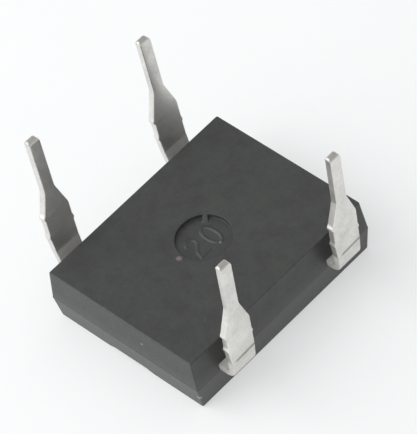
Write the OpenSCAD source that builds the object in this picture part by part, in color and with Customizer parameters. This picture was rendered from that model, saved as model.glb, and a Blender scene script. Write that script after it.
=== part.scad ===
// Low-profile four-lead bridge rectifier in a dual in-line moulded package, dimensions in millimetres.
// It lies on its marked face, so the four formed leads point up and the board face looks up (+Z).
// X runs along the body from lead to lead of one row, Y runs across the two rows.
// Origin: centre of the marked face, the side that shows when the part is soldered to a board.

/* [Body] */
// Length of the moulded body at its parting line
body_l = 8.1; // [7.8:0.05:9.5]
// Width of the moulded body at its parting line
body_w = 6.45; // [6.3:0.05:7.2]
// Height of the moulded body from the marked face to the board face
body_h = 2.24; // [2.1:0.02:3.2]
// Height of the parting line above the marked face
parting_z = 1.0; // [0.9:0.02:1.1]
// Draw-in of the two end walls from the parting line to the board face
board_draw_end = 0.07; // [0.05:0.01:0.3]
// Draw-in of the two long walls from the parting line to the board face
board_draw_side = 0.1; // [0.05:0.01:0.2]
// Draw-in of the two end walls from the parting line to the marked face
marked_draw_end = 0.12; // [0.05:0.01:0.3]
// Draw-in of the two long walls from the parting line to the marked face
marked_draw_side = 0.09; // [0.05:0.01:0.2]
// Step at the parting line, where the board half of the mould is the smaller one
parting_step = 0.01; // [0.005:0.005:0.05]
// Bevel round the marked face and the board face
face_bevel = 0.05; // [0.02:0.01:0.1]

/* [End notch] */
// Width of the shallow notch across the end edge of the marked face
notch_w = 2.1; // [1.2:0.05:3]
// Width of the flat bottom of the notch
notch_floor_w = 1.4; // [0.6:0.05:2]
// Depth of the notch
notch_depth = 0.12; // [0.05:0.01:0.2]

/* [Mould mark] */
// Diameter of the round sunk mark in the middle of the board face
mark_d = 1.9; // [1.2:0.05:2.6]
// Depth of the sunk mark
mark_depth = 0.14; // [0.04:0.01:0.2]
// Width of the ramp that bridges the rim of the mark
mark_tab_w = 0.2; // [0.1:0.05:0.4]
// How far the ramp reaches in from the rim
mark_tab_len = 0.26; // [0.1:0.02:0.5]
// Direction of the ramp, measured from +X towards +Y
mark_tab_angle = 41; // [0:1:359]

/* [Leads] */
// Distance between the two leads of one row
lead_pitch = 5.08; // [4.8:0.02:5.4]
// Straight length of lead between the body wall and the bend
wall_to_bend = 0.27; // [0.2:0.01:0.8]
// Thickness of the lead strip
lead_t = 0.26; // [0.2:0.01:0.3]
// Inside radius of the bend
bend_r = 0.15; // [0.08:0.01:0.3]
// Outward lean of the legs from upright, in degrees
leg_lean = 3.7; // [0:0.1:10]
// Width of the shoulder, the wide part of the leg that stops on the board
shoulder_w = 1.1; // [0.9:0.02:1.4]
// Length of the shoulder from the end of the bend to its top corners
shoulder_len = 2.04; // [1.4:0.02:2.6]
// Length of the taper between shoulder and pin
taper_len = 1.05; // [0.5:0.05:1.5]
// Width of the pin that goes through the board
pin_w = 0.46; // [0.4:0.02:0.7]
// Length of the pin beyond the taper
pin_len = 2.22; // [1.5:0.02:4]
// Corner cut at the end of the pin
pin_tip_cut = 0.11; // [0.02:0.01:0.15]
// Height of each small stub that the cut tie bar leaves on a shoulder edge
stub_h = 0.16; // [0.08:0.02:0.24]
// How far such a stub stands out of the edge
stub_out = 0.06; // [0.02:0.01:0.1]
// Width of the cut tie bar along the leg
tie_bar_w = 0.78; // [0.5:0.02:0.9]

/* [Lead plates inside] */
// Distance along X between the middles of the diode chips
chip_pitch_x = 2.6; // [2.4:0.05:2.9]
// Distance along Y between the middles of the diode chips
chip_pitch_y = 2.0; // [1.9:0.05:2.2]
// Rim of plate left round each chip
plate_rim = 0.08; // [0.04:0.01:0.1]
// Length over which a lead is set down or up
set_len = 0.35; // [0.25:0.05:0.5]
// Straight length of lead held between the body wall and the start of the set
held_len = 0.55; // [0.4:0.05:0.65]
// Gap between the negative arm and the end of the positive plate
arm_gap = 0.3; // [0.2:0.05:0.35]
// Diameter of the anchor hole that the moulding compound fills
anchor_d = 0.4; // [0.2:0.02:0.5]

/* [Diode chips] */
// Side of the square diode chips
chip_w = 1.3; // [1.0:0.05:1.4]
// Thickness of the diode chips
chip_t = 0.28; // [0.2:0.02:0.36]
// Side of the square solder layers
solder_w = 1.2; // [0.8:0.05:1.3]
// Thickness of each solder layer
solder_t = 0.05; // [0.03:0.01:0.08]

/* [Hidden] */
$fn = 96;

resin_colour = [0.17, 0.17, 0.16];
tin_colour = [0.78, 0.78, 0.76];
chip_colour = [0.33, 0.35, 0.40];
solder_colour = [0.60, 0.61, 0.63];

// Levels: the lead strip lies on the parting line, and its plates are set down or up from there by
// equal steps, just far enough apart for a chip and its two solder layers
lead_z = parting_z;
plate_set = (lead_t + chip_t + 2 * solder_t) / 2;
ac_z = lead_z - plate_set;
dc_z = lead_z + plate_set;
chip_base_z = ac_z + lead_t + solder_t;

// Places along Y: wall, held stretch, set, plates
lead_x = lead_pitch / 2;
half_shoulder = shoulder_w / 2;
bend_y = body_w / 2 + wall_to_bend;
held_y = body_w / 2 - held_len;
set_y = held_y - set_len;
leg_len = shoulder_len + taper_len + pin_len;

// Extra length of a sweep that a second shape trims
trim_over = 1;

// Half sides of the plates that carry two chips each
chip_x = chip_pitch_x / 2;
chip_y = chip_pitch_y / 2;
plate_half = chip_w / 2 + plate_rim;
plate_end_x = chip_x + plate_half;
plate_end_y = chip_y + plate_half;
arm_x = plate_end_x + arm_gap;
arm_out_x = lead_x + half_shoulder;
anchor_y = (chip_y + plate_end_y) / 2;

// Middles of the four chips, in node order
CHIP_PLACES = [[-chip_x, -chip_y], [chip_x, -chip_y], [-chip_x, chip_y], [chip_x, chip_y]];

// ---- Moulded body ----

// One side of the body's cross-section, from the marked face up to the board face
function wall_line(half, marked_draw, board_draw) = [
    [half - marked_draw - face_bevel, 0],
    [half - marked_draw * (1 - face_bevel / parting_z), face_bevel],
    [half, parting_z],
    [half - parting_step, parting_z],
    [half - board_draw + (board_draw - parting_step) * face_bevel / (body_h - parting_z), body_h - face_bevel],
    [half - board_draw - face_bevel, body_h]];

function mirrored_line(line) = [for (i = [len(line) - 1 : -1 : 0]) [-line[i][0], line[i][1]]];

// Cross-section of the body, symmetrical about the middle plane
module body_section(half, marked_draw, board_draw) {
    line = wall_line(half, marked_draw, board_draw);
    polygon(concat(line, mirrored_line(line)));
}

// The drafted block: the end-to-end section swept across meets the side-to-side section swept along
module body_block() {
    intersection() {
        rotate([90, 0, 0])
            linear_extrude(body_w + trim_over, center = true)
                body_section(body_l / 2, marked_draw_end, board_draw_end);
        rotate([90, 0, 90])
            linear_extrude(body_l + trim_over, center = true)
                body_section(body_w / 2, marked_draw_side, board_draw_side);
    }
}

// Round sunk mark with its rim bridged by one ramp that rises from the floor of the mark to the face
module mould_mark() {
    ramp_start = mark_d / 2 - mark_tab_len;
    translate([0, 0, body_h - mark_depth])
        difference() {
            cylinder(h = 2 * mark_depth, d = mark_d);
            rotate([90, 0, mark_tab_angle])
                linear_extrude(mark_tab_w, center = true)
                    polygon([[ramp_start, -mark_depth],
                             [ramp_start, 0],
                             [ramp_start + 2 * mark_tab_len, 2 * mark_depth],
                             [ramp_start + 2 * mark_tab_len, -mark_depth]]);
        }
}

// Half-round notch with sloping walls, open to the end that carries the first lead of each row
module end_notch() {
    slope = (notch_w - notch_floor_w) / 2 / notch_depth;
    translate([marked_draw_end + face_bevel - body_l / 2, 0, -notch_depth])
        cylinder(h = 2 * notch_depth, r1 = notch_w / 2 + slope * notch_depth, r2 = notch_floor_w / 2);
}

module moulded_body() {
    color(resin_colour)
        difference() {
            body_block();
            mould_mark();
            end_notch();
            lead_ac_1();
            lead_ac_2();
            lead_positive();
            lead_negative();
            for (place = CHIP_PLACES) {
                diode_chip(place);
                solder_lower(place);
                solder_upper(place);
            }
        }
}

// ---- Leads ----

// Stub that the cut tie bar leaves on the edge of a shoulder
module tie_stub(side, foot) {
    polygon([[side * (half_shoulder - stub_out), foot],
             [side * half_shoulder, foot],
             [side * (half_shoulder + stub_out), foot + stub_h * 0.4],
             [side * (half_shoulder + stub_out), foot + stub_h * 0.7],
             [side * half_shoulder, foot + stub_h],
             [side * (half_shoulder - stub_out), foot + stub_h]]);
}

// Outline of a leg seen square on: shoulder, taper, pin, and the stubs of the cut tie bar
module leg_outline() {
    taper_top = shoulder_len + taper_len;
    polygon([[-half_shoulder, 0],
             [half_shoulder, 0],
             [half_shoulder, shoulder_len],
             [pin_w / 2, taper_top],
             [pin_w / 2, leg_len - pin_tip_cut],
             [pin_w / 2 - pin_tip_cut, leg_len],
             [pin_tip_cut - pin_w / 2, leg_len],
             [-pin_w / 2, leg_len - pin_tip_cut],
             [-pin_w / 2, taper_top],
             [-half_shoulder, shoulder_len]]);
    tie_stub(1, shoulder_len - tie_bar_w - stub_h / 2);
    tie_stub(-1, shoulder_len - tie_bar_w - stub_h / 2);
    tie_stub(-1, shoulder_len - stub_h);
}

// Bend and leg outside the body, for a lead that leaves towards +Y at x = 0
module bent_leg() {
    translate([0, bend_y, lead_z + lead_t + bend_r]) {
        rotate([0, 90, 0])
            rotate_extrude(angle = 90 - leg_lean)
                translate([bend_r, -half_shoulder])
                    square([lead_t, shoulder_w]);
        rotate([-leg_lean, 0, 0])
            translate([0, bend_r + lead_t, 0])
                rotate([90, 0, 0])
                    linear_extrude(lead_t)
                        leg_outline();
    }
}

// Strip from the bend through the wall and down or up to the level of its plate
module set_strip(level) {
    rotate([90, 0, 90])
        linear_extrude(shoulder_w, center = true)
            polygon([[bend_y, lead_z],
                     [bend_y, lead_z + lead_t],
                     [held_y, lead_z + lead_t],
                     [set_y, level + lead_t],
                     [set_y, level],
                     [held_y, lead_z]]);
}

// Everything of one lead but its plate: towards +Y for row 1, towards -Y for row -1
module lead_strip(x, row, level) {
    translate([x, 0, 0])
        mirror([0, row < 0 ? 1 : 0, 0]) {
            bent_leg();
            set_strip(level);
        }
}

// Flat plate at a level, with the anchor hole that locks it in the moulding compound
module plate(level, points, anchor) {
    difference() {
        translate([0, 0, level])
            linear_extrude(lead_t)
                polygon(points);
        translate([anchor[0], anchor[1], level - lead_t])
            cylinder(h = 3 * lead_t, d = anchor_d);
    }
}

// Plate along Y under two chips, for the alternating-current lead at x = side * lead_x
module ac_plate(side) {
    mirror([side > 0 ? 1 : 0, 0, 0])
        plate(ac_z,
              [[-arm_out_x, -set_y],
               [-lead_x + half_shoulder, -set_y],
               [-chip_x + plate_half, -plate_end_y],
               [-chip_x + plate_half, plate_end_y],
               [-plate_end_x, plate_end_y],
               [-plate_end_x, plate_half - chip_y],
               [-arm_out_x, -chip_y]],
              [-lead_x, -anchor_y]);
}

module lead_ac_1() {
    color(tin_colour) {
        lead_strip(-lead_x, -1, ac_z);
        ac_plate(-1);
    }
}

module lead_ac_2() {
    color(tin_colour) {
        lead_strip(lead_x, -1, ac_z);
        ac_plate(1);
    }
}

// Plate along X over the two chips on the positive side
module lead_positive() {
    color(tin_colour) {
        lead_strip(-lead_x, 1, dc_z);
        plate(dc_z,
              [[-arm_out_x, set_y],
               [-lead_x + half_shoulder, set_y],
               [-chip_x, plate_end_y],
               [plate_end_x, plate_end_y],
               [plate_end_x, chip_y - plate_half],
               [-plate_end_x, chip_y - plate_half],
               [-arm_out_x, chip_y]],
              [-lead_x, anchor_y]);
    }
}

// Plate along X over the two chips on the negative side, with an arm beside the chips to its own lead
module lead_negative() {
    color(tin_colour) {
        lead_strip(lead_x, 1, dc_z);
        plate(dc_z,
              [[arm_out_x, set_y],
               [lead_x - half_shoulder, set_y],
               [arm_x, set_y - arm_gap],
               [arm_x, plate_half - chip_y],
               [-plate_end_x, plate_half - chip_y],
               [-plate_end_x, -plate_end_y],
               [arm_x, -plate_end_y],
               [arm_out_x, -chip_y]],
              [(arm_x + arm_out_x) / 2, chip_y]);
    }
}

// ---- Diode chips and solder ----

// Square layer centred on a place, from one level up
module layer(place, side, level, thickness) {
    translate([place[0] - side / 2, place[1] - side / 2, level])
        cube([side, side, thickness]);
}

module diode_chip(place) {
    color(chip_colour) layer(place, chip_w, chip_base_z, chip_t);
}

module solder_lower(place) {
    color(solder_colour) layer(place, solder_w, chip_base_z - solder_t, solder_t);
}

module solder_upper(place) {
    color(solder_colour) layer(place, solder_w, dc_z - solder_t, solder_t);
}

moulded_body();
lead_ac_1();
lead_ac_2();
lead_positive();
lead_negative();
diode_chip(CHIP_PLACES[0]);  // diode_chip_1
diode_chip(CHIP_PLACES[1]);  // diode_chip_2
diode_chip(CHIP_PLACES[2]);  // diode_chip_3
diode_chip(CHIP_PLACES[3]);  // diode_chip_4
solder_lower(CHIP_PLACES[0]);  // solder_lower_1
solder_lower(CHIP_PLACES[1]);  // solder_lower_2
solder_lower(CHIP_PLACES[2]);  // solder_lower_3
solder_lower(CHIP_PLACES[3]);  // solder_lower_4
solder_upper(CHIP_PLACES[0]);  // solder_upper_1
solder_upper(CHIP_PLACES[1]);  // solder_upper_2
solder_upper(CHIP_PLACES[2]);  // solder_upper_3
solder_upper(CHIP_PLACES[3]);  // solder_upper_4
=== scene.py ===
"""Low-profile bridge rectifier: moulded body, four formed leads, chips, solder and a plain studio."""

import math
from collections import namedtuple
from functools import partial, reduce

import bmesh
import bpy
from bpy.props import FloatProperty, FloatVectorProperty, PointerProperty
from bpy.types import Operator, Panel, PropertyGroup
from mathutils import Matrix, Vector


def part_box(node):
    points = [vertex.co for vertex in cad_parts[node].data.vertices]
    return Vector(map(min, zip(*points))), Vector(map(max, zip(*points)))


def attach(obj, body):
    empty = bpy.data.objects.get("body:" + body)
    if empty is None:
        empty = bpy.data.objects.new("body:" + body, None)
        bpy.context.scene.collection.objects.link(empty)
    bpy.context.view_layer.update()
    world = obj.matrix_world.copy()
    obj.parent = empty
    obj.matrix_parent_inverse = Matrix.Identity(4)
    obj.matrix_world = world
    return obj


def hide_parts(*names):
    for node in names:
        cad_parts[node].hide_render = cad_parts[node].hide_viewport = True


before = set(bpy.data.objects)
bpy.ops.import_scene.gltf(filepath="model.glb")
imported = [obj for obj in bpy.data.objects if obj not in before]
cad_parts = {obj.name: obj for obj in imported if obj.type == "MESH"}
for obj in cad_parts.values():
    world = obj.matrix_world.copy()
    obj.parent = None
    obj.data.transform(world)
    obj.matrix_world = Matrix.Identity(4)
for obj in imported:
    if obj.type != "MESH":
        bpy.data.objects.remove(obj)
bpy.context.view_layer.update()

bl_info = {
    "name": "Bridge Rectifier Builder",
    "version": (1, 0, 0),
    "blender": (4, 5, 0),
    "location": "3D View > Sidebar > Rectifier",
    "description": "Builds a dual in-line bridge rectifier with a moulded body and four formed leads",
    "category": "Add Mesh",
}

MM = 0.001
# Edges that turn by more than this are drawn sharp, in degrees
SHARP_ANGLE = 30.0
BODY_LOW, BODY_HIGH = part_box("moulded_body")

# How each lead was formed, in millimetres and radians: its node, its side along X and row along Y, how far
# its bend stands off the usual place, its shift along X, its sideways lean towards +X, its extra length,
# and how far its stubs sit from the usual height (lower -X, upper -X, lower +X)
Forming = namedtuple("Forming", "node side row stand_off shift sway extra stubs")
LEADS = (
    Forming("lead_ac_1", -1, -1, 0.045, 0.0, -0.008, -0.01, (0.0, 0.0, 0.0)),
    Forming("lead_ac_2", 1, -1, -0.056, 0.0, 0.0, 0.0, (-0.05, 0.08, -0.08)),
    Forming("lead_positive", -1, 1, 0.0, -0.08, 0.022, 0.07, (0.02, 0.18, 0.06)),
    Forming("lead_negative", 1, 1, 0.0, -0.06, 0.02, 0.03, (-0.06, 0.0, -0.08)),
)


def size(name, description, millimetres):
    return FloatProperty(name=name, description=description, default=millimetres * MM,
                         unit="LENGTH", subtype="DISTANCE", precision=5)


def turn(name, description, degrees):
    return FloatProperty(name=name, description=description, default=math.radians(degrees),
                         unit="ROTATION", subtype="ANGLE")


def tint(name, description, colour):
    return FloatVectorProperty(name=name, description=description, default=colour, size=3,
                               min=0.0, max=1.0, subtype="COLOR")


# ---- Sizes and finishes a user would change ----

class RectifierBody(PropertyGroup):
    length: size("Length", "Length of the body at its parting line", (BODY_HIGH.x - BODY_LOW.x) / MM)
    width: size("Width", "Width of the body at its parting line", (BODY_HIGH.y - BODY_LOW.y) / MM)
    height: size("Height", "Height from the marked face to the board face", (BODY_HIGH.z - BODY_LOW.z) / MM)
    parting_height: size("Parting height", "Height of the parting line", 1.0)
    parting_step: size("Parting step", "How much smaller the board half is at the parting line", 0.01)
    board_draw_end: size("Board draw, ends", "Draw-in of the end walls towards the board face", 0.07)
    board_draw_side: size("Board draw, sides", "Draw-in of the long walls towards the board face", 0.1)
    marked_draw_end: size("Marked draw, ends", "Draw-in of the end walls towards the marked face", 0.12)
    marked_draw_side: size("Marked draw, sides", "Draw-in of the long walls towards the marked face", 0.09)
    edge_radius: size("Edge radius", "Rounding of the edges round both faces", 0.045)
    corner_radius: size("Corner radius", "Rounding of the four upright corners", 0.05)
    notch_width: size("Notch width", "Width of the shallow notch across the end edge", 2.1)
    notch_floor: size("Notch floor", "Width of the flat bottom of the notch", 1.4)
    notch_depth: size("Notch depth", "Depth of the notch", 0.12)


class RectifierMark(PropertyGroup):
    diameter: size("Diameter", "Diameter of the round sunk mark", 1.9)
    depth: size("Depth", "Depth of the sunk mark", 0.14)
    ramp_width: size("Ramp width", "Width of the ramp that bridges the rim", 0.2)
    ramp_length: size("Ramp length", "How far the ramp reaches in from the rim", 0.26)
    ramp_angle: turn("Ramp angle", "Direction of the ramp from +X towards +Y", 41.0)
    rim_radius: size("Rim radius", "Rounding of the rim", 0.02)
    stroke_width: size("Stroke width", "Width of the raised strokes of the cavity number", 0.11)
    stroke_height: size("Stroke height", "Height of the raised strokes", 0.028)


class RectifierLead(PropertyGroup):
    pitch: size("Pitch", "Distance between the two leads of one row", 5.08)
    wall_to_bend: size("Wall to bend", "Straight length between the wall and the bend", 0.27)
    thickness: size("Thickness", "Thickness of the strip", 0.26)
    bend_radius: size("Bend radius", "Inside radius of the bend", 0.15)
    lean: turn("Lean", "Outward lean of the legs from upright", 3.7)
    shoulder_width: size("Shoulder width", "Width of the wide part of the leg", 1.1)
    shoulder_length: size("Shoulder length", "Length of the wide part beyond the bend", 2.04)
    taper_length: size("Taper length", "Length of the taper between shoulder and pin", 1.05)
    pin_width: size("Pin width", "Width of the pin", 0.46)
    pin_length: size("Pin length", "Length of the pin", 2.22)
    crease_distance: size("Crease distance", "Straight length from the bend to the forming crease", 0.52)
    crease_radius: size("Crease radius", "Inside radius of the crease", 0.02)
    crease_angle: turn("Crease angle", "How much further out the leg leans below the crease", 4.0)
    tip_radius: size("Tip radius", "Rounding of the +X corner of the cut end", 0.25)
    tip_sharp: size("Sharp tip radius", "Rounding of the -X corner of the cut end", 0.11)
    tip_crown: size("Tip crown", "Rounding of the cut end across the thickness", 0.12)
    tip_flare: size("Tip flare", "How far the cut has spread the end", 0.02)
    waist: size("Waist", "How much narrower the strip is at the bend, on its -X edge", 0.1)
    cut_back: size("Cut back", "How much deeper the edge is cut between the stubs", 0.03)
    edge_radius: size("Edge radius", "Rounding of the rolled edges of the strip", 0.04)
    corner_blend: size("Corner blend", "Length over which the outline turns at a corner", 0.16)
    stub_height: size("Stub height", "Height of a stub of the cut tie bar", 0.16)
    stub_out: size("Stub reach", "How far a stub stands out of the edge", 0.035)
    tie_bar_width: size("Tie bar width", "Width of the cut tie bar along the leg", 0.78)


class RectifierFinish(PropertyGroup):
    resin: tint("Resin", "Colour of the moulding compound", (0.038, 0.044, 0.039))
    resin_dark: tint("Resin, dark", "Darker clouds in the moulding compound", (0.03, 0.028, 0.031))
    # Painted over the worn edges, where it is partly a painted edge highlight, and over the marked half as
    # painted sheen
    resin_worn: tint("Resin, worn", "Paler compound along worn edges", (0.066, 0.066, 0.065))
    tin: tint("Tin", "Colour of the tin plating", (0.8, 0.79, 0.765))
    # The forming crease's groove is darkened with this colour as painted shade
    cut: tint("Cut end", "Colour of the sheared ends and of the forming crease", (0.2, 0.185, 0.16))
    tin_dull: tint("Tin, dull", "Duller patches of the plating", (0.66, 0.65, 0.62))
    silicon: tint("Silicon", "Colour of the chips", (0.12, 0.13, 0.16))
    solder: tint("Solder", "Colour of the solder", (0.45, 0.46, 0.48))
    floor: tint("Floor", "Colour of the floor", (0.93, 0.94, 0.945))


def sizes_of(group):
    """The group's sizes in millimetres, and its angles as they are."""
    values = {}
    for name, prop in group.bl_rna.properties.items():
        if prop.type == "FLOAT" and not prop.is_array:
            scale = 1.0 if prop.subtype == "ANGLE" else MM
            values[name] = getattr(group, name) / scale
    return values


# ---- Mesh helpers: everything is built in millimetres and scaled once ----

def clamped(t):
    return min(max(t, 0.0), 1.0)


def eased(t):
    """Smooth step from 0 to 1."""
    return t * t * (3 - 2 * t)


def ring_faces(bm, first, second):
    """Quads between two rings of equally many vertices that run anticlockwise, the second one above."""
    count = len(first)
    for i in range(count):
        j = (i + 1) % count
        bm.faces.new((first[i], first[j], second[j], second[i]))


def add_ring(bm, points):
    return [bm.verts.new(p) for p in points]


def join_rings(bm, rings):
    """Quads between each ring and the one above it."""
    for low, high in zip(rings, rings[1:]):
        ring_faces(bm, low, high)


def rounded_rectangle(half_x, half_y, radius, z, steps=5):
    points = []
    for index, (sx, sy) in enumerate(((1, 1), (-1, 1), (-1, -1), (1, -1))):
        for k in range(steps + 1):
            angle = math.radians(90 * index + 90 * k / steps)
            points.append((sx * (half_x - radius) + radius * math.cos(angle),
                           sy * (half_y - radius) + radius * math.sin(angle), z))
    return points


def finished_object(bm, name):
    """The mesh in metres as an object at the origin, with smooth shading that keeps flat faces flat."""
    bmesh.ops.scale(bm, vec=(MM, MM, MM), verts=bm.verts)
    mesh = bpy.data.meshes.new(name)
    bm.to_mesh(mesh)
    bm.free()
    mesh.shade_smooth()
    mesh.set_sharp_from_angle(angle=math.radians(SHARP_ANGLE))
    obj = bpy.data.objects.new(name, mesh)
    bpy.context.scene.collection.objects.link(obj)
    return obj


def bake_modifiers(obj):
    """Replaces the object's mesh by the evaluated one and drops its modifiers."""
    graph = bpy.context.evaluated_depsgraph_get()
    mesh = bpy.data.meshes.new_from_object(obj.evaluated_get(graph), preserve_all_data_layers=True,
                                           depsgraph=graph)
    old, obj.data = obj.data, mesh
    obj.modifiers.clear()
    mesh.name = obj.name
    bpy.data.meshes.remove(old)
    return obj


def keep_flats_flat(obj):
    obj.modifiers.new("Even shading", "WEIGHTED_NORMAL").keep_sharp = True
    return bake_modifiers(obj)


# ---- Shader helpers ----

def new_group(name, inputs, outputs):
    group = bpy.data.node_groups.new(name, "ShaderNodeTree")
    for label, kind, default in inputs:
        socket = group.interface.new_socket(label, in_out="INPUT", socket_type=kind)
        if default is not None:
            socket.default_value = default
    for label, kind in outputs:
        group.interface.new_socket(label, in_out="OUTPUT", socket_type=kind)
    return group, group.nodes.new("NodeGroupInput").outputs, group.nodes.new("NodeGroupOutput").inputs


def feed(tree, socket, value):
    """Links a socket to another socket, or sets its value."""
    if isinstance(value, bpy.types.NodeSocket):
        tree.links.new(value, socket)
    elif value is not None:
        socket.default_value = value


def maths(tree, operation, a, b=None, c=None, clamp=False):
    node = tree.nodes.new("ShaderNodeMath")
    node.operation = operation
    node.use_clamp = clamp
    for socket, value in zip(node.inputs, (a, b, c)):
        feed(tree, socket, value)
    return node.outputs[0]


def distance_between(tree, a, b):
    node = tree.nodes.new("ShaderNodeVectorMath")
    node.operation = "DISTANCE"
    feed(tree, node.inputs[0], a)
    feed(tree, node.inputs[1], b)
    return node.outputs["Value"]


def noise(tree, vector, scale, detail=2.0, roughness=0.5):
    node = tree.nodes.new("ShaderNodeTexNoise")
    feed(tree, node.inputs["Vector"], vector)
    feed(tree, node.inputs["Scale"], scale)
    feed(tree, node.inputs["Detail"], detail)
    feed(tree, node.inputs["Roughness"], roughness)
    return node.outputs["Fac"]


def spread(tree, value, low, high, out_low=0.0, out_high=1.0):
    """Maps low..high to out_low..out_high, clamped."""
    node = tree.nodes.new("ShaderNodeMapRange")
    for socket, given in zip(node.inputs, (value, low, high, out_low, out_high)):
        feed(tree, socket, given)
    return node.outputs["Result"]


def axes(tree, vector):
    split = tree.nodes.new("ShaderNodeSeparateXYZ")
    feed(tree, split.inputs[0], vector)
    return split.outputs


def mix_colour(tree, factor, a, b):
    node = tree.nodes.new("ShaderNodeMix")
    node.data_type = "RGBA"
    node.clamp_factor = True
    feed(tree, node.inputs["Factor"], factor)
    feed(tree, node.inputs[6], a)
    feed(tree, node.inputs[7], b)
    return node.outputs[2]


def place_group(tree, group, **values):
    node = tree.nodes.new("ShaderNodeGroup")
    node.node_tree = group
    for name, value in values.items():
        feed(tree, node.inputs[name.replace("_", " ")], value)
    return node.outputs


def bump(tree, height, distance_mm, strength, normal=None):
    node = tree.nodes.new("ShaderNodeBump")
    feed(tree, node.inputs["Height"], height)
    node.inputs["Distance"].default_value = distance_mm * MM
    node.inputs["Strength"].default_value = strength
    feed(tree, node.inputs["Normal"], normal)
    return node.outputs[0]


def grain_group():
    """Fine grain: a height and a mask from two sizes of noise."""
    name = "Fine grain"
    if name in bpy.data.node_groups:
        return bpy.data.node_groups[name]
    group, given, out = new_group(
        name,
        (("Vector", "NodeSocketVector", None), ("Grains per mm", "NodeSocketFloat", 20.0)),
        (("Height", "NodeSocketFloat"), ("Mask", "NodeSocketFloat")))
    scale = maths(group, "DIVIDE", given["Grains per mm"], MM)
    fine = noise(group, given["Vector"], scale, 3.0, 0.65)
    wide = noise(group, given["Vector"], maths(group, "MULTIPLY", scale, 0.28), 2.0)
    height = maths(group, "MULTIPLY_ADD", wide, 0.6, fine)
    feed(group, out["Height"], height)
    feed(group, out["Mask"], spread(group, fine, 0.35, 0.65))
    return group


def cloud_group():
    """Cloudy tone: wide soft patches between two colours, with fine mottle over them."""
    name = "Cloudy tone"
    if name in bpy.data.node_groups:
        return bpy.data.node_groups[name]
    group, given, out = new_group(
        name,
        (("Vector", "NodeSocketVector", None), ("Light", "NodeSocketColor", (1, 1, 1, 1)),
         ("Dark", "NodeSocketColor", (0, 0, 0, 1)), ("Patches per mm", "NodeSocketFloat", 0.6),
         ("Mottles per mm", "NodeSocketFloat", 8.0)),
        (("Colour", "NodeSocketColor"), ("Mask", "NodeSocketFloat")))
    patches = noise(group, given["Vector"], maths(group, "DIVIDE", given["Patches per mm"], MM), 4.0, 0.6)
    mottles = noise(group, given["Vector"], maths(group, "DIVIDE", given["Mottles per mm"], MM), 3.0, 0.7)
    mask = spread(group, maths(group, "MULTIPLY_ADD", mottles, 0.6, patches), 0.62, 0.98)
    feed(group, out["Colour"], mix_colour(group, mask, given["Light"], given["Dark"]))
    feed(group, out["Mask"], mask)
    return group


def cloudy(tree, where, light, dark, patches, mottles):
    """Cloudy tone between two colours, with so many patches and mottles per mm."""
    return place_group(tree, cloud_group(), Vector=where, Light=rgba(light), Dark=rgba(dark),
                       Patches_per_mm=patches, Mottles_per_mm=mottles)


def grainy(tree, where, grains):
    """Fine grain with so many grains per mm."""
    return place_group(tree, grain_group(), Vector=where, Grains_per_mm=grains)


def spot_group():
    """Small spot: a soft mask round one place."""
    name = "Small spot"
    if name in bpy.data.node_groups:
        return bpy.data.node_groups[name]
    group, given, out = new_group(
        name,
        (("Vector", "NodeSocketVector", None), ("Place", "NodeSocketVector", None),
         ("Radius", "NodeSocketFloat", 0.1 * MM)),
        (("Mask", "NodeSocketFloat"),))
    wobble = noise(group, given["Vector"], 9.0 / MM, 2.0)
    distance = distance_between(group, given["Vector"], given["Place"])
    ratio = maths(group, "DIVIDE", distance, given["Radius"])
    bent = maths(group, "MULTIPLY_ADD", wobble, 0.9, ratio)
    feed(group, out["Mask"], spread(group, bent, 0.9, 1.35, 1.0, 0.0))
    return group


def new_material(name):
    material = bpy.data.materials.new(name)
    material.use_nodes = True
    tree = material.node_tree
    shader = tree.nodes["Principled BSDF"]
    place = tree.nodes.new("ShaderNodeTexCoord").outputs
    return material, tree, shader, place


def rgba(colour):
    return (colour[0], colour[1], colour[2], 1.0)


def darker(colour, share):
    return [c * share for c in colour]


def wear_group():
    """Worn edges and painted edge highlight: a broken mask along the edges of a block, from its half sizes
    and its height.
    """
    name = "Edge wear"
    if name in bpy.data.node_groups:
        return bpy.data.node_groups[name]
    group, given, out = new_group(
        name,
        (("Vector", "NodeSocketVector", None), ("Half length", "NodeSocketFloat", 4.0 * MM),
         ("Half width", "NodeSocketFloat", 3.1 * MM), ("Height", "NodeSocketFloat", 2.2 * MM),
         ("Reach", "NodeSocketFloat", 0.1 * MM)),
        (("Mask", "NodeSocketFloat"),))
    at = axes(group, given["Vector"])
    past_x = maths(group, "SUBTRACT", maths(group, "ABSOLUTE", at["X"]), given["Half length"])
    past_y = maths(group, "SUBTRACT", maths(group, "ABSOLUTE", at["Y"]), given["Half width"])
    past_z = maths(group, "SUBTRACT", at["Z"], given["Height"])
    rim = maths(group, "MINIMUM", past_z, maths(group, "MAXIMUM", past_x, past_y))
    edge = maths(group, "MAXIMUM", rim, maths(group, "MINIMUM", past_x, past_y))
    near = maths(group, "ADD", maths(group, "DIVIDE", edge, given["Reach"]), 1.0)
    broken = maths(group, "MULTIPLY_ADD", noise(group, given["Vector"], 5.0 / MM, 3.0, 0.6), 1.1, -0.45)
    feed(group, out["Mask"], maths(group, "MULTIPLY", spread(group, near, 0.0, 0.7), broken, clamp=True))
    return group


# Small pale specks and dust on the compound, and one painted highlight on the cavity number: place in
# millimetres, radius, colour
SPECKS_AND_GLINT = (
    ((-1.096, 0.069, 2.24), 0.13, (0.16, 0.125, 0.12)),
    ((-4.0, -0.902, 1.627), 0.07, (0.2, 0.2, 0.2)),
    ((-4.03, -0.95, 0.723), 0.06, (0.19, 0.19, 0.19)),
    ((-3.97, -3.14, 0.565), 0.11, (0.26, 0.26, 0.26)),
    # Painted highlight: a pale spot on the lower end of the 0, standing in for the glint on its stroke
    ((0.22, -0.49, 2.13), 0.07, (0.16, 0.17, 0.17)),
    ((-2.4, -2.3, 2.24), 0.05, (0.07, 0.07, 0.07)),
)
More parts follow.
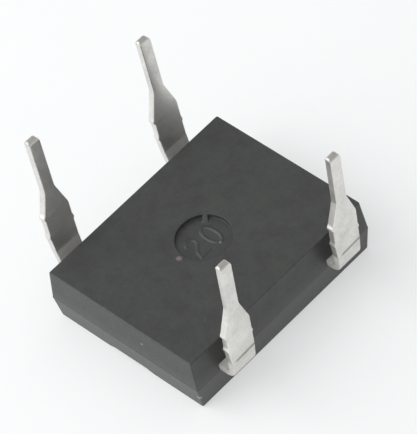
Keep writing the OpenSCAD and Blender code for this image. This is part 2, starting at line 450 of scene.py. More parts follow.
# Reach of the paler worn edges, which are partly a painted edge highlight
WEAR_AND_HIGHLIGHT_REACH = 0.12
# How strongly the marked half is painted paler, as painted sheen
MARKED_HALF_SHEEN = 0.8
RESIN_IOR = 1.55


def resin_material(finish, body):
    """Dark epoxy compound: eroded-mould grain, soft clouds, paler worn edges that are partly a painted edge
    highlight, a marked half painted paler as painted sheen, small pale specks and one painted highlight.
    """
    material, tree, shader, place = new_material("Epoxy moulding compound")
    where = place["Object"]
    clouds = cloudy(tree, where, finish.resin, finish.resin_dark, patches=2.0, mottles=7.0)
    grain = grainy(tree, where, grains=20.0)
    wear_and_highlight = place_group(tree, wear_group(), Vector=where, Reach=WEAR_AND_HIGHLIGHT_REACH * MM, Height=body["height"] * MM,
                       Half_length=(body["length"] / 2 - body["board_draw_end"]) * MM,
                       Half_width=(body["width"] / 2 - body["board_draw_side"]) * MM)["Mask"]
    # Paler worn edges, partly a painted highlight along the rounded edges
    colour = mix_colour(tree, wear_and_highlight, clouds["Colour"], rgba(finish.resin_worn))
    # Painted sheen: the marked half is painted paler, up to a little above the parting line, standing in
    # for the bright floor that its walls reflect
    parting = body["parting_height"] * MM
    marked_half_sheen = spread(tree, axes(tree, where)["Z"], parting - 0.15 * MM, parting + 0.45 * MM, 1.0, 0.0)
    paler = maths(tree, "MULTIPLY", marked_half_sheen, MARKED_HALF_SHEEN)
    colour = mix_colour(tree, paler, colour, rgba(finish.resin_worn))
    for spot, radius, tone in SPECKS_AND_GLINT:
        mask = place_group(tree, spot_group(), Vector=where,
                           Place=tuple(c * MM for c in spot), Radius=radius * MM)["Mask"]
        colour = mix_colour(tree, mask, colour, rgba(tone))
    feed(tree, shader.inputs["Base Color"], colour)
    feed(tree, shader.inputs["Roughness"], spread(tree, grain["Mask"], 0.0, 1.0, 0.38, 0.5))
    feed(tree, shader.inputs["Normal"], bump(tree, grain["Height"], 0.008, 0.6))
    shader.inputs["IOR"].default_value = RESIN_IOR
    return material


# On the unrolled strip, in millimetres: where the crease lies along it and the inner face across it
CREASE_ALONG = -4.79
INNER_FACE = 3.0
TIN_METALLIC = 0.95
DULL_METALLIC_LOSS = -0.6
DULL_ROUGHNESS_GAIN = 0.2


def tin_material(finish):
    """Satin tin plating on rolled strip: drawing lines, dull patches, a forming crease with painted shade
    in its groove, grey cut ends.
    """
    material, tree, shader, place = new_material("Tin-plated strip")
    strip = place["UV"]
    stretch = tree.nodes.new("ShaderNodeMapping")
    feed(tree, stretch.inputs["Vector"], strip)
    stretch.inputs["Scale"].default_value = (1.0, 0.07, 1.0)
    lines = noise(tree, stretch.outputs[0], 26.0 / MM, 3.0, 0.6)
    clouds = cloudy(tree, place["Object"], finish.tin, finish.tin_dull, patches=1.3, mottles=9.0)
    grain = grainy(tree, place["Object"], grains=16.0)
    across, along = axes(tree, strip)["X"], axes(tree, strip)["Y"]
    # The crease that the forming tool leaves on the outer face above the bend, short of the -X edge; its
    # groove is bumped and painted darker as painted shade
    crease = CREASE_ALONG * MM
    wander = maths(tree, "MULTIPLY_ADD", noise(tree, place["Object"], 3.0 / MM, 1.0), 0.05 * MM, crease)
    line = maths(tree, "ADD", maths(tree, "MULTIPLY", across, 0.05), wander)
    off = maths(tree, "ABSOLUTE", maths(tree, "SUBTRACT", along, line))
    outer = maths(tree, "MULTIPLY", spread(tree, across, -0.38 * MM, -0.25 * MM),
                  spread(tree, across, 0.8 * MM, 0.9 * MM, 1.0, 0.0))
    groove_and_shade = maths(tree, "MULTIPLY", spread(tree, off, 0.02 * MM, 0.08 * MM, 1.0, 0.0), outer)
    # Plating dulled inside the bend
    inner = spread(tree, across, INNER_FACE / 2 * MM, (INNER_FACE / 2 + 0.1) * MM)
    low = spread(tree, along, crease - 0.16 * MM, crease + 0.02 * MM, 1.0, 0.0)
    dull = maths(tree, "MULTIPLY", inner, low)
    cut = spread(tree, along, -0.12 * MM, -0.02 * MM)
    # Painted shade: the crease's groove darkened towards the cut colour
    colour = mix_colour(tree, maths(tree, "MULTIPLY", groove_and_shade, 0.7), clouds["Colour"], rgba(finish.cut))
    colour = mix_colour(tree, maths(tree, "MULTIPLY", cut, 0.5), colour, rgba(finish.cut))
    feed(tree, shader.inputs["Base Color"], colour)
    rough = maths(tree, "MULTIPLY_ADD", clouds["Mask"], 0.1, spread(tree, lines, 0.3, 0.7, 0.34, 0.44))
    feed(tree, shader.inputs["Roughness"], maths(tree, "MULTIPLY_ADD", dull, DULL_ROUGHNESS_GAIN, rough))
    metallic = maths(tree, "MULTIPLY_ADD", dull, DULL_METALLIC_LOSS, TIN_METALLIC)
    feed(tree, shader.inputs["Metallic"], metallic)
    first = bump(tree, lines, 0.004, 0.35)
    second = bump(tree, maths(tree, "SUBTRACT", 1.0, groove_and_shade), 0.02, 0.8, first)
    feed(tree, shader.inputs["Normal"], bump(tree, grain["Height"], 0.004, 0.3, second))
    return material


def clouded_material(name, colour, share, patches, mottles, grains, rough, relief, metallic=0.0):
    """Cloudy tones between a colour and a share of it, with grain in its roughness and its relief."""
    material, tree, shader, place = new_material(name)
    grain = grainy(tree, place["Object"], grains)
    clouds = cloudy(tree, place["Object"], colour, darker(colour, share), patches, mottles)
    feed(tree, shader.inputs["Base Color"], clouds["Colour"])
    feed(tree, shader.inputs["Roughness"], spread(tree, grain["Mask"], 0.0, 1.0, *rough))
    feed(tree, shader.inputs["Normal"], bump(tree, grain["Height"], *relief))
    shader.inputs["Metallic"].default_value = metallic
    return material


# ---- Moulded body ----

EDGE_STEPS = 5
RIM_STEPS = 5
FLOOR_RINGS = 64
MARK_SIDES = 240
NOTCH_SIDES = 96
# How far the mark's wall leans in, and how much of its radius its flat floor takes
MARK_WALL_IN = 0.015
MARK_FLOOR_SHARE = 0.9
# Half heights of the parting step and of the walls' turn into it, and their inset there
PARTING_STEP_HALF = 0.015
PARTING_TURN_HALF = 0.04
PARTING_TURN_INSET = 0.003
# Width of each sloping flank of the ramp
RAMP_FLANK = 0.06
# How far the notch's cutter starts below the marked face
NOTCH_BELOW = 0.1


def circle_loop(radius, steps):
    return [(radius * math.cos(2 * math.pi * k / steps), radius * math.sin(2 * math.pi * k / steps))
            for k in range(steps)]


def ramp_height(mark, x, y):
    """Height of the ramp above the floor of the mark, zero away from it."""
    turned = Matrix.Rotation(-mark["ramp_angle"], 2) @ Vector((x, y))
    start = mark["diameter"] / 2 - mark["ramp_length"]
    along = clamped((turned.x - start) / mark["ramp_length"])
    across = clamped((mark["ramp_width"] / 2 + RAMP_FLANK / 2 - abs(turned.y)) / RAMP_FLANK)
    return mark["depth"] * along * eased(across) * (1 if turned.x > 0 else 0)


def cavity_number():
    """The plain cavity number 20, upright along +Y, as the ends of short lines."""
    def arc(x, y, radius_x, radius_y, start, turn_, count):
        angles = [math.radians(start + turn_ * k / count) for k in range(count + 1)]
        return [Vector((x + radius_x * math.cos(a), y + radius_y * math.sin(a))) for a in angles]

    two = arc(-0.38, 0.22, 0.18, 0.2, 165, -210, 10) + [Vector((-0.5, -0.17)), Vector((-0.56, -0.4)),
                                                         Vector((-0.2, -0.4))]
    nought = arc(0.29, -0.03, 0.2, 0.44, 0, 360, 24)
    return [pair for points in (two, nought) for pair in zip(points, points[1:])]


def number_height(mark, lines, x, y):
    """Height of the raised strokes of the number above the floor of the mark."""
    if math.hypot(x, y) > mark["diameter"] * 0.42:
        return 0.0
    place = Vector((x, y))
    nearest = mark["stroke_width"]
    for start, end in lines:
        along = end - start
        t = clamped((place - start).dot(along) / along.length_squared)
        nearest = min(nearest, (place - start - along * t).length)
    return mark["stroke_height"] * eased(clamped(1.25 - nearest / mark["stroke_width"] * 1.8))


def body_rings(body):
    """Insets from the parting line's half sizes and heights, from the marked face to the board face."""
    radius = body["edge_radius"]
    turns = [math.radians(90 * k / EDGE_STEPS) for k in range(EDGE_STEPS + 1)]
    rings = []
    for angle in turns:
        inset = radius * (1 - math.sin(angle))
        rings.append((body["marked_draw_end"] + inset, body["marked_draw_side"] + inset,
                      radius * (1 - math.cos(angle))))
    parting, step = body["parting_height"], body["parting_step"]
    rings += [(PARTING_TURN_INSET, PARTING_TURN_INSET, parting - PARTING_TURN_HALF),
              (0.0, 0.0, parting - PARTING_STEP_HALF),
              (step * 0.5, step * 0.5, parting + PARTING_STEP_HALF),
              (step, step, parting + PARTING_TURN_HALF)]
    for angle in turns:
        inset = radius * (1 - math.cos(angle))
        rings.append((body["board_draw_end"] + inset, body["board_draw_side"] + inset,
                      body["height"] - radius * (1 - math.sin(angle))))
    return rings


def mark_profile(mark):
    """Radius and drop of the rings of the sunk mark, from its rim down its wall and in over its floor."""
    rim, depth, radius = mark["rim_radius"], mark["depth"], mark["diameter"] / 2
    turns = [math.radians(90 / RIM_STEPS * k) for k in range(RIM_STEPS + 1)]
    profile = [(radius + rim - rim * math.sin(a), -rim * (1 - math.cos(a))) for a in turns]
    profile += [(radius - MARK_WALL_IN - rim * (1 - math.cos(a)), -(depth - rim) - rim * math.sin(a))
                for a in turns]
    return profile + [(MARK_FLOOR_SHARE * radius * (1 - k / FLOOR_RINGS), -depth)
                      for k in range(FLOOR_RINGS)]


def body_shell(body, mark):
    """The drafted block with its rounded edges, parting step and sunk mark, as one closed shell."""
    bm = bmesh.new()
    half_x, half_y = body["length"] / 2, body["width"] / 2
    walls = [add_ring(bm, rounded_rectangle(half_x - inset_x, half_y - inset_y, body["corner_radius"], z))
             for inset_x, inset_y, z in body_rings(body)]
    join_rings(bm, walls)
    bm.faces.new(reversed(walls[0]))
    number = cavity_number()
    sunk = []
    for reach, drop in mark_profile(mark):
        points = []
        for x, y in circle_loop(reach, MARK_SIDES):
            lift = max(ramp_height(mark, x, y), number_height(mark, number, x, y))
            points.append((x, y, body["height"] + max(drop, lift - mark["depth"])))
        sunk.append(add_ring(bm, points))
    for high, low in zip(sunk, sunk[1:]):
        ring_faces(bm, low, high)
    bm.faces.new(sunk[-1])
    edges = [bm.edges.get((ring[i], ring[(i + 1) % len(ring)])) for ring in (walls[-1], sunk[0])
             for i in range(len(ring))]
    bmesh.ops.triangle_fill(bm, use_beauty=True, use_dissolve=False, edges=edges, normal=(0, 0, 1))
    bmesh.ops.recalc_face_normals(bm, faces=bm.faces)
    return bm


def notch_cutter(body):
    """Half-round cutter with sloping walls at the end edge of the marked face."""
    bm = bmesh.new()
    slope = (body["notch_width"] - body["notch_floor"]) / 2 / body["notch_depth"]
    centre = body["marked_draw_end"] + body["edge_radius"] - body["length"] / 2
    rings = []
    # Below the marked face, at it, and three rings that round the foot of the slope
    for z, radius in ((-NOTCH_BELOW, body["notch_width"] / 2 + slope * NOTCH_BELOW),
                      (0.0, body["notch_width"] / 2),
                      (body["notch_depth"] - 0.02, body["notch_floor"] / 2 + slope * 0.02 + 0.005),
                      (body["notch_depth"] - 0.005, body["notch_floor"] / 2 + 0.02),
                      (body["notch_depth"], body["notch_floor"] / 2 - 0.03)):
        rings.append(add_ring(bm, [(centre + x, y, z) for x, y in circle_loop(radius, NOTCH_SIDES)]))
    join_rings(bm, rings)
    bm.faces.new(rings[-1])
    bm.faces.new(reversed(rings[0]))
    return finished_object(bm, "notch_cutter")


class RECTIFIER_OT_make_body(Operator):
    """Moulds the body with its rounded edges, parting step, sunk mark and end notch"""
    bl_idname = "rectifier.make_body"
    bl_label = "Moulded Body"

    def execute(self, context):
        scene = context.scene
        body, mark = sizes_of(scene.rectifier_body), sizes_of(scene.rectifier_mark)
        bm = body_shell(body, mark)
        piece = finished_object(bm, "compound_block")
        cutter = notch_cutter(body)
        cut = piece.modifiers.new("Notch", "BOOLEAN")
        cut.operation, cut.solver, cut.object = "DIFFERENCE", "EXACT", cutter
        bake_modifiers(piece)
        bpy.data.objects.remove(cutter)
        piece.data.set_sharp_from_angle(angle=math.radians(SHARP_ANGLE))
        keep_flats_flat(piece)
        piece.data.materials.clear()
        piece.data.materials.append(resin_material(scene.rectifier_finish, body))
        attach(piece, "root")
        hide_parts("moulded_body")
        return {"FINISHED"}


# ---- Leads ----

# Steps round the bend, the crease and the corner of the tip, and the usual distance of two rows
BEND_STEPS = 14
CREASE_STEPS = 4
TIP_STEPS = 10
ROW_STEP = 0.06
# A stub over its height: how far it stands out, as a share of its reach, and its rows
STUB_SHAPE = ((-0.1, 0.0), (0.12, 0.5), (0.3, 0.95), (0.5, 1.0), (0.8, 0.75), (1.1, 0.3), (1.5, 0.0))
STUB_ROWS = (-0.1, 0.0, 0.12, 0.3, 0.5, 0.65, 0.8, 0.95, 1.1, 1.3, 1.5)
# Thickness left at the very end of the tip, as a share
TIP_EDGE = 0.08
# How deep in the wall a lead's outer half ends, and how far it laps over the inner half
CUT_DEPTH = 0.3
CUT_LAP = 0.02


def forming_tree():
    """Geometry nodes that bend a flat lead at its bend line and again at its crease, for either row."""
    tree = bpy.data.node_groups.new("Form lead", "GeometryNodeTree")
    tree.interface.new_socket("Geometry", in_out="INPUT", socket_type="NodeSocketGeometry")
    for label, default in (("Row", 1.0), ("Bend line", 3.4 * MM), ("Strip level", MM),
                           ("Thickness", 0.26 * MM), ("Bend radius", 0.15 * MM),
                           ("Bend angle", math.radians(82)), ("Crease distance", 0.52 * MM),
                           ("Crease radius", 0.02 * MM), ("Crease angle", math.radians(4)), ("Sway", 0.0)):
        socket = tree.interface.new_socket(label, in_out="INPUT", socket_type="NodeSocketFloat")
        socket.default_value = default
    tree.interface.new_socket("Material", in_out="INPUT", socket_type="NodeSocketMaterial")
    tree.interface.new_socket("Geometry", in_out="OUTPUT", socket_type="NodeSocketGeometry")
    given = tree.nodes.new("NodeGroupInput").outputs

    sub, times, least, most, sin, cos = (partial(maths, tree, operation) for operation in (
        "SUBTRACT", "MULTIPLY", "MINIMUM", "MAXIMUM", "SINE", "COSINE"))

    def add(*values):
        return reduce(partial(maths, tree, "ADD"), values)

    def between(value, high):
        return most(least(value, high), 0.0)

    at = axes(tree, tree.nodes.new("GeometryNodeInputPosition").outputs[0])
    half = times(given["Thickness"], 0.5)
    bend, crease = given["Bend angle"], given["Crease angle"]
    bend_middle, crease_middle = add(given["Bend radius"], half), add(given["Crease radius"], half)
    past = sub(times(at["Y"], given["Row"]), given["Bend line"])
    beyond_bend = sub(past, times(bend_middle, bend))
    beyond_straight = sub(beyond_bend, given["Crease distance"])
    # How much of each stretch lies before this point: the bend, the straight, the crease and the leg
    first = between(maths(tree, "DIVIDE", past, bend_middle), bend)
    straight = between(beyond_bend, given["Crease distance"])
    second = between(maths(tree, "DIVIDE", beyond_straight, crease_middle), crease)
    leg = most(sub(beyond_straight, times(crease_middle, crease)), 0.0)
    slope, turned = add(bend, second), add(first, second)
    height = sub(sub(at["Z"], given["Strip level"]), half)
    y = add(given["Bend line"], least(past, 0.0), times(bend_middle, sin(first)),
            times(straight, cos(bend)), times(crease_middle, sub(sin(slope), sin(bend))),
            times(leg, cos(slope)), times(height, times(sin(turned), -1.0)))
    z = add(given["Strip level"], half, times(bend_middle, sub(1.0, cos(first))),
            times(straight, sin(bend)), times(crease_middle, sub(cos(bend), cos(slope))),
            times(leg, sin(slope)), times(height, cos(turned)))
    joined = tree.nodes.new("ShaderNodeCombineXYZ")
    feed(tree, joined.inputs["X"], add(at["X"], times(leg, given["Sway"])))
    feed(tree, joined.inputs["Y"], times(y, given["Row"]))
    feed(tree, joined.inputs["Z"], z)
    move = tree.nodes.new("GeometryNodeSetPosition")
    tree.links.new(given["Geometry"], move.inputs["Geometry"])
    tree.links.new(joined.outputs[0], move.inputs["Position"])
    realize = tree.nodes.new("GeometryNodeRealizeInstances")
    tree.links.new(move.outputs[0], realize.inputs[0])
    finish = tree.nodes.new("GeometryNodeSetMaterial")
    tree.links.new(realize.outputs[0], finish.inputs["Geometry"])
    tree.links.new(given["Material"], finish.inputs["Material"])
    tree.links.new(finish.outputs[0], tree.nodes.new("NodeGroupOutput").inputs[0])
    return tree


def set_inputs(modifier, values):
    """Sets a geometry nodes modifier's inputs by the identifiers of their sockets."""
    for item in modifier.node_group.interface.items_tree:
        if item.item_type == "SOCKET" and item.in_out == "INPUT" and item.name in values:
            modifier[item.identifier] = values[item.name]


def half_width(lead, s):
    """Half width of the leg at a distance beyond the bend, before its corners are blended."""
    shoulder, pin = lead["shoulder_width"] / 2, lead["pin_width"] / 2
    t = (s - lead["shoulder_length"]) / lead["taper_length"]
    return shoulder + (pin - shoulder) * clamped(t)


def stub_reach(lead, s, foot):
    """How far a stub of the cut tie bar stands out at a distance beyond the bend."""
    t = (s - foot) / lead["stub_height"]
    for (t0, v0), (t1, v1) in zip(STUB_SHAPE, STUB_SHAPE[1:]):
        if t0 <= t < t1:
            return lead["stub_out"] * (v0 + (v1 - v0) * (t - t0) / (t1 - t0))
    return 0.0


def stub_feet(lead, side, formed):
    """Where the stubs start on one edge: two on the -X edge, one on the +X edge."""
    lower = lead["shoulder_length"] - lead["tie_bar_width"] - lead["stub_height"] / 2
    if side > 0:
        return (lower + formed.stubs[2],)
    return (lower + formed.stubs[0], lead["shoulder_length"] - lead["stub_height"] + formed.stubs[1])


def leg_length(lead, formed):
    return lead["shoulder_length"] + lead["taper_length"] + lead["pin_length"] + formed.extra


def edge_at(lead, side, s, formed):
    """Distance of one edge of the leg from its middle line."""
    window = lead["corner_blend"] / 2
    samples = [half_width(lead, s + window * k / 4) for k in range(-4, 5)]
    reach = sum(samples) / len(samples)
    feet = stub_feet(lead, side, formed)
    for foot in feet:
        reach += stub_reach(lead, s, foot)
    if side < 0:
        # The tie bar was cut a little deeper between the stubs
        inside = clamped((s - feet[0]) / 0.1) * clamped((feet[1] + 0.05 - s) / 0.1)
        reach -= lead["cut_back"] * inside
        reach -= lead["waist"] * clamped((feet[0] + 0.06 - s) / (feet[0] + 0.06)) ** 0.8
    left = leg_length(lead, formed) - s
    reach += lead["tip_flare"] * max(1 - left / 0.3, 0.0) ** 2
    radius = lead["tip_sharp"] if side < 0 else lead["tip_radius"]
    return reach - radius * (1 - quarter_round(left / radius))


def quarter_round(t):
    """Height of a quarter circle at a share of its radius from the end, 1 beyond it."""
    return math.sqrt(1 - (1 - clamped(t)) ** 2)


def leg_rows(lead, formed, crease):
    """Distances beyond the bend of the leg's rows of vertices; crease is where its crease starts."""
    length = leg_length(lead, formed)
    rows = {ROW_STEP * k for k in range(1, int(length / ROW_STEP))}
    for side in (-1, 1):
        for foot in stub_feet(lead, side, formed):
            rows |= {foot + lead["stub_height"] * t for t in STUB_ROWS}
    turned = (lead["crease_radius"] + lead["thickness"] / 2) * lead["crease_angle"]
    tip = length - lead["tip_radius"]
    kept = []
    # Rows too close to each other, to the crease or to the tip are left out
    for s in sorted(rows):
        clear = s < crease - 0.01 or s > crease + turned + 0.01
        if clear and s < tip - 0.012 and (not kept or s - kept[-1] > 0.008):
            kept.append(s)
    kept += [crease + turned * k / CREASE_STEPS for k in range(CREASE_STEPS + 1)]
    turns = [math.radians(90 / TIP_STEPS * k) for k in range(TIP_STEPS + 1)]
    return sorted(kept) + [length - lead["tip_radius"] * (1 - math.sin(a)) for a in turns]


def flat_leg(lead, formed, x, from_y, bend_line, level):
    """The outer half of a lead as it is stamped, before it is bent: a strip with rounded edges."""
    bm = bmesh.new()
    layer = bm.loops.layers.uv.new("Strip")
    middle = lead["bend_radius"] + lead["thickness"] / 2
    leg_start = middle * (math.pi / 2 - lead["lean"])
    arc = leg_start - middle * lead["crease_angle"]
    stations = [(from_y - bend_line, None), (-0.15, None), (-0.05, None)]
    stations += [(arc * k / BEND_STEPS, None) for k in range(BEND_STEPS + 1)]
    crease = arc + lead["crease_distance"] - leg_start
    stations += [(leg_start + s, s) for s in leg_rows(lead, formed, crease)]
    length = stations[-1][1]
    rings, along = [], {}
    for v, s in stations:
        left, right = (edge_at(lead, side, s or 0.0, formed) for side in (-1, 1))
        half = lead["thickness"] / 2
        if s is not None:
            half *= TIP_EDGE + (1 - TIP_EDGE) * quarter_round((length - s) / lead["tip_crown"])
        radius = min(lead["edge_radius"], half * 0.8)
        centre = level + lead["thickness"] / 2
        points = []
        corners = ((x + right, 1, 0), (x + right, 1, 1), (x - left, -1, 1), (x - left, -1, 0))
        for index, (edge, side, upper) in enumerate(corners):
            cz = centre + (half - radius) * (1 if upper else -1)
            for k in range(5):
                angle = math.radians(-90 + 90 * index + 22.5 * k)
                points.append((edge - side * radius + radius * math.cos(angle),
                               cz + radius * math.sin(angle)))
        ring = [bm.verts.new((px, formed.row * (bend_line + v), pz)) for px, pz in points]
        for vert in ring:
            along[vert] = v
        rings.append(ring)
    join_rings(bm, rings)
    bm.faces.new(rings[-1])
    bm.faces.new(rings[0])
    bmesh.ops.recalc_face_normals(bm, faces=bm.faces)
    for face in bm.faces:
        # The inner face lies beside the outer one, across the strip
        beside = INNER_FACE if face.calc_center_median().z > level + lead["thickness"] / 2 else 0.0
        for loop in face.loops:
            loop[layer].uv = ((loop.vert.co.x - x + beside) * MM, (along[loop.vert] - stations[-1][0]) * MM)
    return bm


def inner_plate(bm, node, row, cut_y):
    """Adds the half of a lead inside the body, up to a cut inside the wall."""
    part = bmesh.new()
    part.from_mesh(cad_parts[node].data)
    bmesh.ops.scale(part, vec=(1 / MM,) * 3, verts=part.verts)
    bmesh.ops.remove_doubles(part, verts=part.verts, dist=1e-5)
    geometry = part.verts[:] + part.edges[:] + part.faces[:]
    bmesh.ops.bisect_plane(part, geom=geometry, dist=1e-6, plane_co=(0, row * cut_y, 0),
                           plane_no=(0, row, 0), clear_outer=True)
    bmesh.ops.holes_fill(part, edges=[e for e in part.edges if e.is_boundary], sides=0)
    bmesh.ops.recalc_face_normals(part, faces=part.faces)
    mesh = bpy.data.meshes.new("inner_plate")
    part.to_mesh(mesh)
    part.free()
    bm.from_mesh(mesh)
    bpy.data.meshes.remove(mesh)


class RECTIFIER_OT_make_leads(Operator):
    """Stamps the four leads flat and forms them with geometry nodes"""
    bl_idname = "rectifier.make_leads"
    bl_label = "Formed Leads"

    def execute(self, context):
        scene = context.scene
        lead = sizes_of(scene.rectifier_lead)
        half_body = scene.rectifier_body.width / MM / 2
        level = scene.rectifier_body.parting_height / MM
        tin = tin_material(scene.rectifier_finish)
        tree = forming_tree()
        # The crease lets the leg start further in, so that it stands where the usual bend would put it
        bend_angle = math.pi / 2 - lead["lean"] - lead["crease_angle"]
        inward = lead["crease_distance"] * (math.cos(bend_angle) - math.sin(lead["lean"]))
        for formed in LEADS:
            bend_line = half_body + lead["wall_to_bend"] + formed.stand_off - inward
            cut_y = half_body - CUT_DEPTH
            x = formed.side * lead["pitch"] / 2 + formed.shift
            bm = flat_leg(lead, formed, x, cut_y - CUT_LAP, bend_line, level)
            inner_plate(bm, formed.node, formed.row, cut_y)
            piece = finished_object(bm, "formed_" + formed.node)
            forming = piece.modifiers.new("Forming", "NODES")
            forming.node_group = tree
            set_inputs(forming, {
                "Row": float(formed.row), "Bend line": bend_line * MM, "Strip level": level * MM,
                "Thickness": lead["thickness"] * MM, "Bend radius": lead["bend_radius"] * MM,
                "Bend angle": bend_angle, "Crease distance": lead["crease_distance"] * MM,
                "Crease radius": lead["crease_radius"] * MM, "Crease angle": lead["crease_angle"],
                "Sway": formed.sway, "Material": tin})
            bake_modifiers(piece)
            keep_flats_flat(piece)
            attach(piece, "root")
            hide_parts(formed.node)
        return {"FINISHED"}


# ---- Chips and solder ----

def dress(prefix, material):
    for name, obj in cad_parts.items():
        if name.startswith(prefix):
            obj.data.materials.clear()
            obj.data.materials.append(material)


class RECTIFIER_OT_dress_chips(Operator):
    """Gives the four chips their sawn silicon and the eight layers their solder"""
    bl_idname = "rectifier.dress_chips"
    bl_label = "Chips and Solder"

    def execute(self, context):
        finish = context.scene.rectifier_finish
        dress("diode_chip", clouded_material(
            "Sawn silicon", finish.silicon, share=0.7, patches=1.0, mottles=12.0, grains=30.0,
            rough=(0.28, 0.42), relief=(0.003, 0.3)))
        dress("solder_", clouded_material(
            "Dull solder", finish.solder, share=0.75, patches=2.0, mottles=14.0, grains=12.0,
            rough=(0.4, 0.6), relief=(0.004, 0.5), metallic=1.0))
        return {"FINISHED"}


# ---- Stage ----

# Half the side of the floor, and the part of its seen brightness that is plain white
FLOOR_HALF = 400
FLOOR_LIFT = 0.45
WHITE = (0.985, 0.995, 1.0, 1.0)
# Strength of the room's light, and of the room where the camera sees it
ROOM_LEVEL = 0.86
BACKDROP_LEVEL = 0.95
# The key light: direction from the part, distance, side and level
KEY_LIGHT = ((-0.72, 0.62, 0.68), 120, 140, 0.84)
# The camera: angles in degrees, distance, shifts and aim in millimetres, and its lens
CAMERA_AZIMUTH, CAMERA_ELEVATION, CAMERA_ROLL = -36.1046, 49.8375, -14.2754
CAMERA_DISTANCE, CAMERA_RIGHT, CAMERA_UP, CAMERA_AIM_HEIGHT = 135.7394, 0.0444, 1.0465, 1.6
LENS_LENGTH, SENSOR_SIDE = 353.9, 36.0
CLIP_START, CLIP_END = 0.001, 10.0


def seen_rays(tree):
    """1 for rays from the camera and for reflected and refracted ones, 0 for light that falls on things."""
    ray = tree.nodes.new("ShaderNodeLightPath").outputs
    return maths(tree, "MAXIMUM", ray["Is Camera Ray"],
                 maths(tree, "MAXIMUM", ray["Is Glossy Ray"], ray["Is Transmission Ray"]))


def floor_material(finish):
    """Pale sheet with a faint tooth, lifted towards white where it is seen, so that shadows stay soft."""
    material, tree, shader, place = new_material("Pale sheet")
    clouds = cloudy(tree, place["Object"], finish.floor, darker(finish.floor, 0.985), 0.15, 2.0)
    feed(tree, shader.inputs["Base Color"], clouds["Colour"])
    shader.inputs["Roughness"].default_value = 0.9
    shader.inputs["Specular IOR Level"].default_value = 0.2
    white = tree.nodes.new("ShaderNodeEmission")
    white.inputs["Color"].default_value = WHITE
    pick = tree.nodes.new("ShaderNodeMixShader")
    feed(tree, pick.inputs[0], maths(tree, "MULTIPLY", seen_rays(tree), FLOOR_LIFT))
    tree.links.new(shader.outputs[0], pick.inputs[1])
    tree.links.new(white.outputs[0], pick.inputs[2])
    tree.links.new(pick.outputs[0], tree.nodes["Material Output"].inputs["Surface"])
    return material


def add_lamp(name, direction, distance_mm, side_mm, level):
    """A square soft box that gives a white sheet facing it the given level."""
    data = bpy.data.lights.new(name, "AREA")
    data.shape = "SQUARE"
    data.size = side_mm * MM
    data.energy = level * math.pi ** 2 * (distance_mm * MM) ** 2
    lamp = bpy.data.objects.new(name, data)
    bpy.context.scene.collection.objects.link(lamp)
    toward = Vector(direction).normalized()
    lamp.location = toward * distance_mm * MM
    lamp.rotation_euler = toward.to_track_quat("Z", "Y").to_euler()


class RECTIFIER_OT_make_stage(Operator):
    """Lays the pale floor, hangs the soft box and sets up the camera"""
    bl_idname = "rectifier.make_stage"
    bl_label = "Stage"

    def execute(self, context):
        scene = context.scene
        bm = bmesh.new()
        bmesh.ops.create_grid(bm, x_segments=8, y_segments=8, size=FLOOR_HALF)
        floor = finished_object(bm, "pale_floor")
        floor.data.materials.append(floor_material(scene.rectifier_finish))

        world = bpy.data.worlds.new("Soft room")
        scene.world = world
        world.use_nodes = True
        tree = world.node_tree
        tree.nodes.clear()
        pick = tree.nodes.new("ShaderNodeMixShader")
        tree.links.new(tree.nodes.new("ShaderNodeLightPath").outputs["Is Camera Ray"], pick.inputs[0])
        for level, socket in zip((ROOM_LEVEL, BACKDROP_LEVEL), pick.inputs[1:]):
            light = tree.nodes.new("ShaderNodeBackground")
            light.inputs["Strength"].default_value = level
            tree.links.new(light.outputs[0], socket)
        tree.links.new(pick.outputs[0], tree.nodes.new("ShaderNodeOutputWorld").inputs[0])

        add_lamp("Key", *KEY_LIGHT)
        place_camera(scene)
        scene.view_settings.view_transform = "Standard"
        return {"FINISHED"}


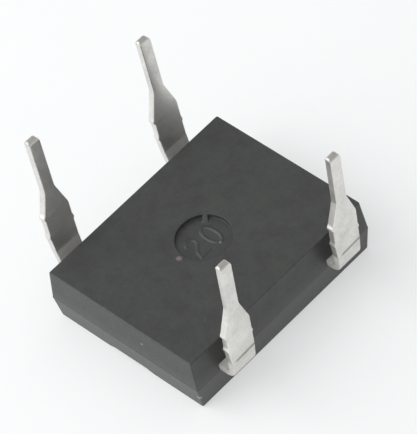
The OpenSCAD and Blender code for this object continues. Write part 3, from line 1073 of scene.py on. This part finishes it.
def place_camera(scene):
    """Camera with a long lens, rolled about its own axis."""
    azimuth, elevation, roll = (math.radians(a) for a in (CAMERA_AZIMUTH, CAMERA_ELEVATION, CAMERA_ROLL))
    back = Vector((math.sin(azimuth) * math.cos(elevation), -math.cos(azimuth) * math.cos(elevation),
                   math.sin(elevation)))
    right = (-back).cross(Vector((0, 0, 1))).normalized()
    up = right.cross(-back)
    r = math.cos(roll) * right + math.sin(roll) * up
    u = -math.sin(roll) * right + math.cos(roll) * up
    aim = Vector((0, 0, CAMERA_AIM_HEIGHT))
    place = (back * CAMERA_DISTANCE + r * CAMERA_RIGHT + u * CAMERA_UP + aim) * MM
    data = bpy.data.cameras.new("Camera")
    data.sensor_width = SENSOR_SIDE
    data.lens = LENS_LENGTH
    data.clip_start = CLIP_START
    data.clip_end = CLIP_END
    camera = bpy.data.objects.new("Camera", data)
    scene.collection.objects.link(camera)
    camera.matrix_world = Matrix.Translation(place) @ Matrix((r, u, back)).transposed().to_4x4()
    scene.camera = camera


# ---- Panel ----

GROUPS = (("rectifier_body", RectifierBody), ("rectifier_mark", RectifierMark),
          ("rectifier_lead", RectifierLead), ("rectifier_finish", RectifierFinish))
OPERATORS = (RECTIFIER_OT_make_stage, RECTIFIER_OT_make_body, RECTIFIER_OT_make_leads,
             RECTIFIER_OT_dress_chips)


class RECTIFIER_PT_build(Panel):
    """Buttons and sizes for the rectifier"""
    bl_idname = "RECTIFIER_PT_build"
    bl_label = "Bridge Rectifier"
    bl_space_type = "VIEW_3D"
    bl_region_type = "UI"
    bl_category = "Rectifier"

    def draw(self, context):
        for operator in OPERATORS:
            self.layout.operator(operator.bl_idname)
        for name, group in GROUPS:
            column = self.layout.column(heading=group.__name__)
            for prop in group.__annotations__:
                column.prop(getattr(context.scene, name), prop)


def register():
    for name, group in GROUPS:
        bpy.utils.register_class(group)
        setattr(bpy.types.Scene, name, PointerProperty(type=group))
    for operator in OPERATORS:
        bpy.utils.register_class(operator)
    bpy.utils.register_class(RECTIFIER_PT_build)


def unregister():
    bpy.utils.unregister_class(RECTIFIER_PT_build)
    for operator in reversed(OPERATORS):
        bpy.utils.unregister_class(operator)
    for name, group in reversed(GROUPS):
        delattr(bpy.types.Scene, name)
        bpy.utils.unregister_class(group)


def main():
    register()
    bpy.ops.rectifier.make_stage()
    bpy.ops.rectifier.make_body()
    bpy.ops.rectifier.make_leads()
    bpy.ops.rectifier.dress_chips()


if __name__ == "__main__":
    main()
